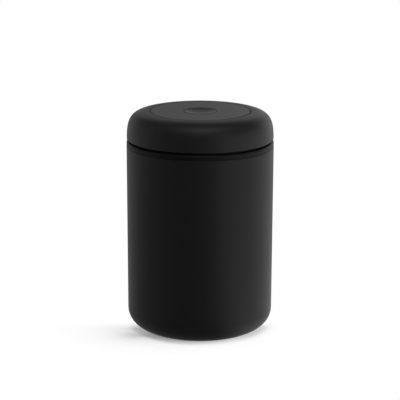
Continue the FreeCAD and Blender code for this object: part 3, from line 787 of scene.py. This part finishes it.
def winding_tree():
    kinds = {
        "Geometry": "NodeSocketGeometry",
        "Turns": "NodeSocketFloat",
        "Coil Radius": "NodeSocketFloat",
        "Wire Radius": "NodeSocketFloat",
        "Foot": "NodeSocketFloat",
        "Length": "NodeSocketFloat",
        "Finish": "NodeSocketMaterial",
    }
    t = NodeTree("wound_spring", kinds)
    coil = {"Resolution": SPRING_STEPS, "Rotations": t.input("Turns"), "Height": 1.0}
    coil.update({"Start Radius": t.input("Coil Radius"), "End Radius": t.input("Coil Radius")})
    spiral = t.node("GeometryNodeCurveSpiral", {}, coil)
    share = t.node("GeometryNodeSplineParameter", {}, {}, "Factor")
    eased = {"Value": share, "From Min": END_TURN, "From Max": 1 - END_TURN}
    rise = t.node("ShaderNodeMapRange", {"interpolation_type": "LINEAR"}, eased)
    drift = t.math("MULTIPLY", share, END_RISE)
    height = t.math("ADD", t.math("MULTIPLY", rise, 1 - END_RISE), drift)
    lift = t.math("ADD", t.input("Foot"), t.math("MULTIPLY", height, t.input("Length")))
    x, y, _ = t.xyz(t.node("GeometryNodeInputPosition", {}, {}))
    spot = t.node("ShaderNodeCombineXYZ", {}, {0: x, 1: y, 2: lift})
    wound = t.node("GeometryNodeSetPosition", {}, {"Geometry": spiral, "Position": spot})
    ring = {"Resolution": WIRE_STEPS, "Radius": t.input("Wire Radius")}
    round_wire = t.node("GeometryNodeCurvePrimitiveCircle", {}, ring)
    sweep = {"Curve": wound, "Profile Curve": round_wire, "Fill Caps": True}
    t.finish(t.node("GeometryNodeCurveToMesh", {}, sweep), t.input("Finish"))
    return t


def spring():
    z0, z1 = heights("valve_spring")
    obj = bpy.data.objects.new("spring", bpy.data.meshes.new("spring"))
    bpy.context.scene.collection.objects.link(obj)
    values = {
        "Turns": float(SPRING_TURNS),
        "Coil Radius": reach("valve_spring") - WIRE_R,
        "Wire Radius": WIRE_R,
        "Foot": z0 + WIRE_R,
        "Length": z1 - z0 - 2 * WIRE_R,
        "Finish": wire_steel,
    }
    mesh = run_tree(obj, winding_tree(), values)
    outwards(mesh)
    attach(obj, "lid_base")
    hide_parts("valve_spring")
    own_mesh(obj)
    print("spring", len(mesh.polygons), "faces, z %.2f to %.2f mm" % (z0 / MM, z1 / MM))


spring()

# %% [markdown]
# ## The filter
# Behind the grille lies a fine woven mesh. Its wires are far thinner than anything else here, so they
# are drawn by the finish: a wire runs along every pitch in X and in Y, it rises and dips where it crosses
# the others, and what is left between is open.

# %% Weave the filter's finish
MESH_PITCH = 0.9 * MM
OPEN_SHARE = 0.28
WIRE_SOFT = 0.25
WIRE_TONES = (0.30, 0.48)
WIRE_ROUGH = 0.30
WEAVE_DEPTH = 0.05 * MM
WEAVE_STRENGTH = 0.6
DIRT_SIZE = 2 * MM
DIRT_ROUGH = 0.15


def wires(place):
    """1 on the wires that lie across this direction, 0 between them."""
    from_wire = place / MESH_PITCH
    share = from_wire.math("PINGPONG", from_wire, 0.5) * 2.0
    return share.ramp(OPEN_SHARE, OPEN_SHARE + WIRE_SOFT)


def weave(name):
    finish = Finish(name, {"Metallic": 1.0})
    x, y, _ = finish.xyz(finish.place())
    from_x, from_y = wires(x), wires(y)
    dirt = finish.noise(DIRT_SIZE, 2.0)
    tint = finish.blend(dirt, *(grey(tone) for tone in WIRE_TONES))
    rough = WIRE_ROUGH + dirt * DIRT_ROUGH
    finish.feed(finish.shader, {"Base Color": tint, "Roughness": rough, "Alpha": from_x.most(from_y)})
    finish.bump(from_x + from_y, WEAVE_DEPTH, WEAVE_STRENGTH)
    return finish.material


woven_mesh = weave("woven_steel_mesh")
print("filter finish:", woven_mesh.name)

# %% [markdown]
# ## The pieces that stay as they are
# The frame's other nodes have the right shape already and are smooth, so each only gets its finish.

# %% Dress the frame's own nodes
DRESS = {
    "lower_housing": band_painted_shade_black,
    "intake_cover": band_painted_shade_black,
    "filter_disc": woven_mesh,
    "manifold_seal": seal_grey,
    "pump_manifold": white_polymer,
    "manifold_screws": plated_steel,
    "thrust_washer": amber_polymer,
    "retaining_clip": wire_steel,
    "cam_plate": grey_polymer,
    "cam_bush": amber_polymer,
    "cam_screws": plated_steel,
    "valve_stem": white_polymer,
    "valve_seal": seal_grey,
    "valve_retainer": plated_steel,
}
for side in ("right", "left"):
    DRESS["cylinder_head_" + side] = white_polymer
    DRESS["inlet_valve_" + side] = seal_grey
    DRESS["piston_" + side] = grey_polymer
    DRESS["piston_cup_" + side] = cup_rubber
    DRESS["follower_pin_" + side] = plated_steel
    DRESS["follower_bush_" + side] = amber_polymer

for name, finish in DRESS.items():
    node = nodes[name]
    node.data.materials.clear()
    node.data.materials.append(finish)
print("dressed", len(DRESS), "nodes")

# %% [markdown]
# ## Floor and light
# A white floor would fill the gloss of a black object, so in a studio dark flags lie beside the camera and
# pale cards on the other sides. Mirrored rays see such a floor here: dark in front and under the can,
# brighter on the right, on the left and behind, with one more card close to the can on the right of its
# front. A direction is told by the sine of its angle, so a span from 0.25 to 0.95 fades in softly.

# %% What mirrored rays see of the floor
FLAG_LEVEL = 0.59
RIGHT_CARD = 1.55
LEFT_CARD = 0.24
BACK_CARD = 0.30
NEAR_CARD = 1.00
SIDE_SPAN = (0.25, 0.95)
BACK_SPAN = (0.0, 0.7)
NEAR_SPAN = (0.2, 0.7)
NEAR_FADE = (CAN_R * 2, CAN_R * 8)
UNDER_FADE = (CAN_R - BASE_ROUND, CAN_R + BASE_ROUND)


def mirrored_floor(x, y, radius):
    right, back = x / radius, y / radius
    left, front = 0.0 - right, 0.0 - back
    cards = right.ramp(*SIDE_SPAN) * RIGHT_CARD + left.ramp(*SIDE_SPAN) * LEFT_CARD
    cards = cards + left.ramp(*BACK_SPAN) * back.ramp(*BACK_SPAN) * BACK_CARD
    near = 1.0 - radius.ramp(*NEAR_FADE)
    cards = cards + right.ramp(*NEAR_SPAN) * front.ramp(*NEAR_SPAN) * near * NEAR_CARD
    return FLAG_LEVEL + cards * radius.ramp(*UNDER_FADE)


print("cards from %.2f to %.2f" % (FLAG_LEVEL, FLAG_LEVEL + RIGHT_CARD))

# %% [markdown]
# The can stands on a white sweep that takes its soft shadow. To follow the photo, the shadow is full under
# the can and close behind it; in front, on the right and farther out, painted white light thins it, and
# in a soft spot on the left painted shadow makes it deeper. This works by place on the floor, in metres,
# and for the camera alone.

# %% How much of the shadow shows
# Shares of painted white light that thin the shadow by place on the floor.
SHADOW_LIFT = 0.12
FRONT_THIN = 0.72
FRONT_SPAN = (-0.06, 0.01)
RIGHT_KEEP = 0.42
RIGHT_SPAN = (0.025, 0.05)
CONTACT_R = 0.040
CONTACT_FADE = (CONTACT_R, CONTACT_R + CAN_R / 4)
LEFT_THIN = 0.24
LEFT_SPAN = (0.7, 1.0)
BEHIND_SPAN = (-0.024, 0.0)
BESIDE_SPAN = (CAN_R * 0.3, CAN_R)
FOOTPRINT_FADE = (CAN_R * 0.72, CAN_R * 0.9)
BEYOND_SPAN = (0.09, 0.22)
BEYOND_DEPTH = 4.0
# A soft spot of painted shadow on the left of the can.
SPOT_X, SPOT_Y = -0.052, -0.032
SPOT_W, SPOT_L = 0.020, 0.012
PAINTED_SHADOW_DEPTH = 0.42


def painted_light_share(x, y, radius):
    """How far painted white light covers the shadow, from 0 to 1."""
    left = 0.0 - x / radius
    thin = x.ramp(*FRONT_SPAN) * (1.0 - x.ramp(*RIGHT_SPAN) * RIGHT_KEEP)
    thin = thin * radius.ramp(*CONTACT_FADE) * FRONT_THIN + left.ramp(*LEFT_SPAN) * LEFT_THIN
    beside = x.math("ABSOLUTE", x).ramp(*BESIDE_SPAN) * radius.ramp(*FOOTPRINT_FADE)
    behind = y.ramp(*BEHIND_SPAN) * beside
    beyond = ((x * x + y * y * BEYOND_DEPTH) ** 0.5).ramp(*BEYOND_SPAN)
    return behind.most(beyond).most(thin) * (1.0 - SHADOW_LIFT) + SHADOW_LIFT


def painted_shadow_spot(x, y):
    """How much painted shadow deepens the shadow in the spot on the left."""
    across, along = (x - SPOT_X) / SPOT_W, (y - SPOT_Y) / SPOT_L
    return (across**2.0 + along**2.0 + 1.0) ** -2.0 * PAINTED_SHADOW_DEPTH


print("shadow at the can keeps %.0f%% of its depth" % (100 * (1 - SHADOW_LIFT)))

# %% [markdown]
# The floor is pale to the light that it scatters and white to the camera and through a clear piece. From
# below it is clear, so that the base can be looked at.

# %% Lay the floor
FLOOR_SIZE = 12.0
FLOOR_LEVEL = 0.80
WHITE_LEVEL = 1.20


def floor_finish():
    material = bpy.data.materials.new("white_sweep")
    material.use_nodes = True
    tree = material.node_tree
    tree.nodes.clear()
    s = Shading(tree)
    x, y, _ = s.xyz(s.place())
    radius = s.off_axis(x, y)
    seen_ray = s.ray("Is Camera Ray").most(s.ray("Is Transmission Ray"))
    # The camera's white is darkened by the spot of painted shadow.
    white_under_painted_shadow = WHITE_LEVEL * (1.0 - painted_shadow_spot(x, y))
    tone = FLOOR_LEVEL + seen_ray * (white_under_painted_shadow - FLOOR_LEVEL)
    pale = s.node("ShaderNodeBsdfDiffuse", {}, {"Color": tone})
    # Plain white emission, mixed over the shadow by place, is painted light.
    white = s.node("ShaderNodeEmission", {}, {"Strength": 1.0})
    share = painted_light_share(x, y, radius) * seen_ray
    seen = s.node("ShaderNodeMixShader", {}, {0: share, 1: pale, 2: white})
    cards = s.node("ShaderNodeEmission", {}, {"Color": mirrored_floor(x, y, radius), "Strength": 1.0})
    sweep = s.node("ShaderNodeMixShader", {}, {0: s.ray("Is Glossy Ray"), 1: seen, 2: cards})
    clear = s.node("ShaderNodeBsdfTransparent", {}, {})
    below = s.node("ShaderNodeNewGeometry", {}, {}, "Backfacing")
    both = s.node("ShaderNodeMixShader", {}, {0: below, 1: sweep, 2: clear})
    s.feed(tree.nodes.new("ShaderNodeOutputMaterial"), {"Surface": both})
    return material


def floor():
    mesh = bpy.data.meshes.new("floor")
    half = FLOOR_SIZE / 2
    corners = [(-half, -half, 0), (half, -half, 0), (half, half, 0), (-half, half, 0)]
    mesh.from_pydata(corners, [], [(0, 1, 2, 3)])
    mesh.materials.append(floor_finish())
    obj = bpy.data.objects.new("floor", mesh)
    bpy.context.scene.collection.objects.link(obj)


floor()
print("floor laid")

# %% [markdown]
# Soft boxes stand round the can at the places where the photo shows their reflections: strong ones on the
# right and weaker ones at the left and behind give the wall its bright edges, the low ones behind are
# mirrored by the flat top, and a high one in front, the strongest, leaves the soft spot on the shoulder.
# Each is an area lamp that looks at the middle of the can.

# %% Hang the soft boxes
AIM = Vector((0, 0, 0.10))
BOX_DISTANCE = 1.0
BOX_W = 0.50
BOX_H = 0.40
SOFT_BOXES = {
    "front_high": (0, 62, 5.21),
    "right_front": (45, 10, 3.20),
    "right_front_high": (45, 62, 1.46),
    "right": (90, 10, 1.78),
    "right_high": (112, 35, 0.37),
    "right_back": (135, 10, 1.66),
    "back_right": (157, 20, 1.20),
    "back": (180, 10, 0.49),
    "back_high": (180, 35, 0.21),
    "back_left": (203, 20, 0.48),
    "left_back": (225, 10, 0.76),
    "left_high": (270, 35, 0.99),
    "left": (270, 10, 1.04),
    "top": (0, 89, 0.76),
}


def soft_box(name, azimuth, elevation, watts):
    """An area lamp at an azimuth counted from the camera's side towards +X."""
    a, e = math.radians(azimuth), math.radians(elevation)
    outwards_to = Vector((math.sin(a) * math.cos(e), -math.cos(a) * math.cos(e), math.sin(e)))
    lamp = bpy.data.lights.new(name, "AREA")
    lamp.shape = "RECTANGLE"
    lamp.size, lamp.size_y = BOX_W, BOX_H
    lamp.energy = watts
    obj = bpy.data.objects.new(name, lamp)
    obj.location = AIM + outwards_to * BOX_DISTANCE
    obj.rotation_mode = "QUATERNION"
    obj.rotation_quaternion = outwards_to.to_track_quat("Z", "Y")
    obj.visible_camera = False
    bpy.context.scene.collection.objects.link(obj)


for name, values in SOFT_BOXES.items():
    soft_box(name, *values)
print("soft boxes:", len(SOFT_BOXES))

# %% [markdown]
# The room beyond is white to the camera and through a clear piece, grey to mirrored rays, as a studio hung
# with dark cloth would be, and dim to everything else.

# %% Set the room
ROOM_LEVEL = 0.024
MIRRORED_ROOM = 0.18


def room():
    world = bpy.data.worlds.new("room")
    world.use_nodes = True
    s = Shading(world.node_tree)
    seen_ray = s.ray("Is Camera Ray").most(s.ray("Is Transmission Ray"))
    seen = seen_ray.most(s.ray("Is Glossy Ray") * MIRRORED_ROOM)
    level = ROOM_LEVEL + seen * (1.0 - ROOM_LEVEL)
    s.feed(world.node_tree.nodes["Background"], {"Color": grey(1.0), "Strength": level})
    bpy.context.scene.world = world


room()
print("room set")

# %% [markdown]
# ## Camera
# A long lens, a little above the lid. Place, tilt and lens come from matching the lid's lines, the
# panel's ellipse and the outline of the can to the photo; the photo is turned by a sixth of a degree.

# %% Set the camera
CAMERA_Y = -1.100
CAMERA_Z = 0.3945
CAMERA_PITCH = math.radians(14.65)
CAMERA_ROLL = math.radians(0.16)
CAMERA_LENS = 123.6
CAMERA_SENSOR = 36.0
CAMERA_FAR = 50.0


def camera():
    data = bpy.data.cameras.new("camera")
    data.sensor_width = CAMERA_SENSOR
    data.lens = CAMERA_LENS
    data.clip_end = CAMERA_FAR
    obj = bpy.data.objects.new("camera", data)
    tilt = Matrix.Rotation(math.pi / 2 - CAMERA_PITCH, 4, "X")
    roll = Matrix.Rotation(CAMERA_ROLL, 4, "Z")
    obj.matrix_world = Matrix.Translation((0, CAMERA_Y, CAMERA_Z)) @ tilt @ roll
    bpy.context.scene.collection.objects.link(obj)
    bpy.context.scene.camera = obj
    bpy.context.scene.view_settings.view_transform = "Standard"


camera()
print("camera set")
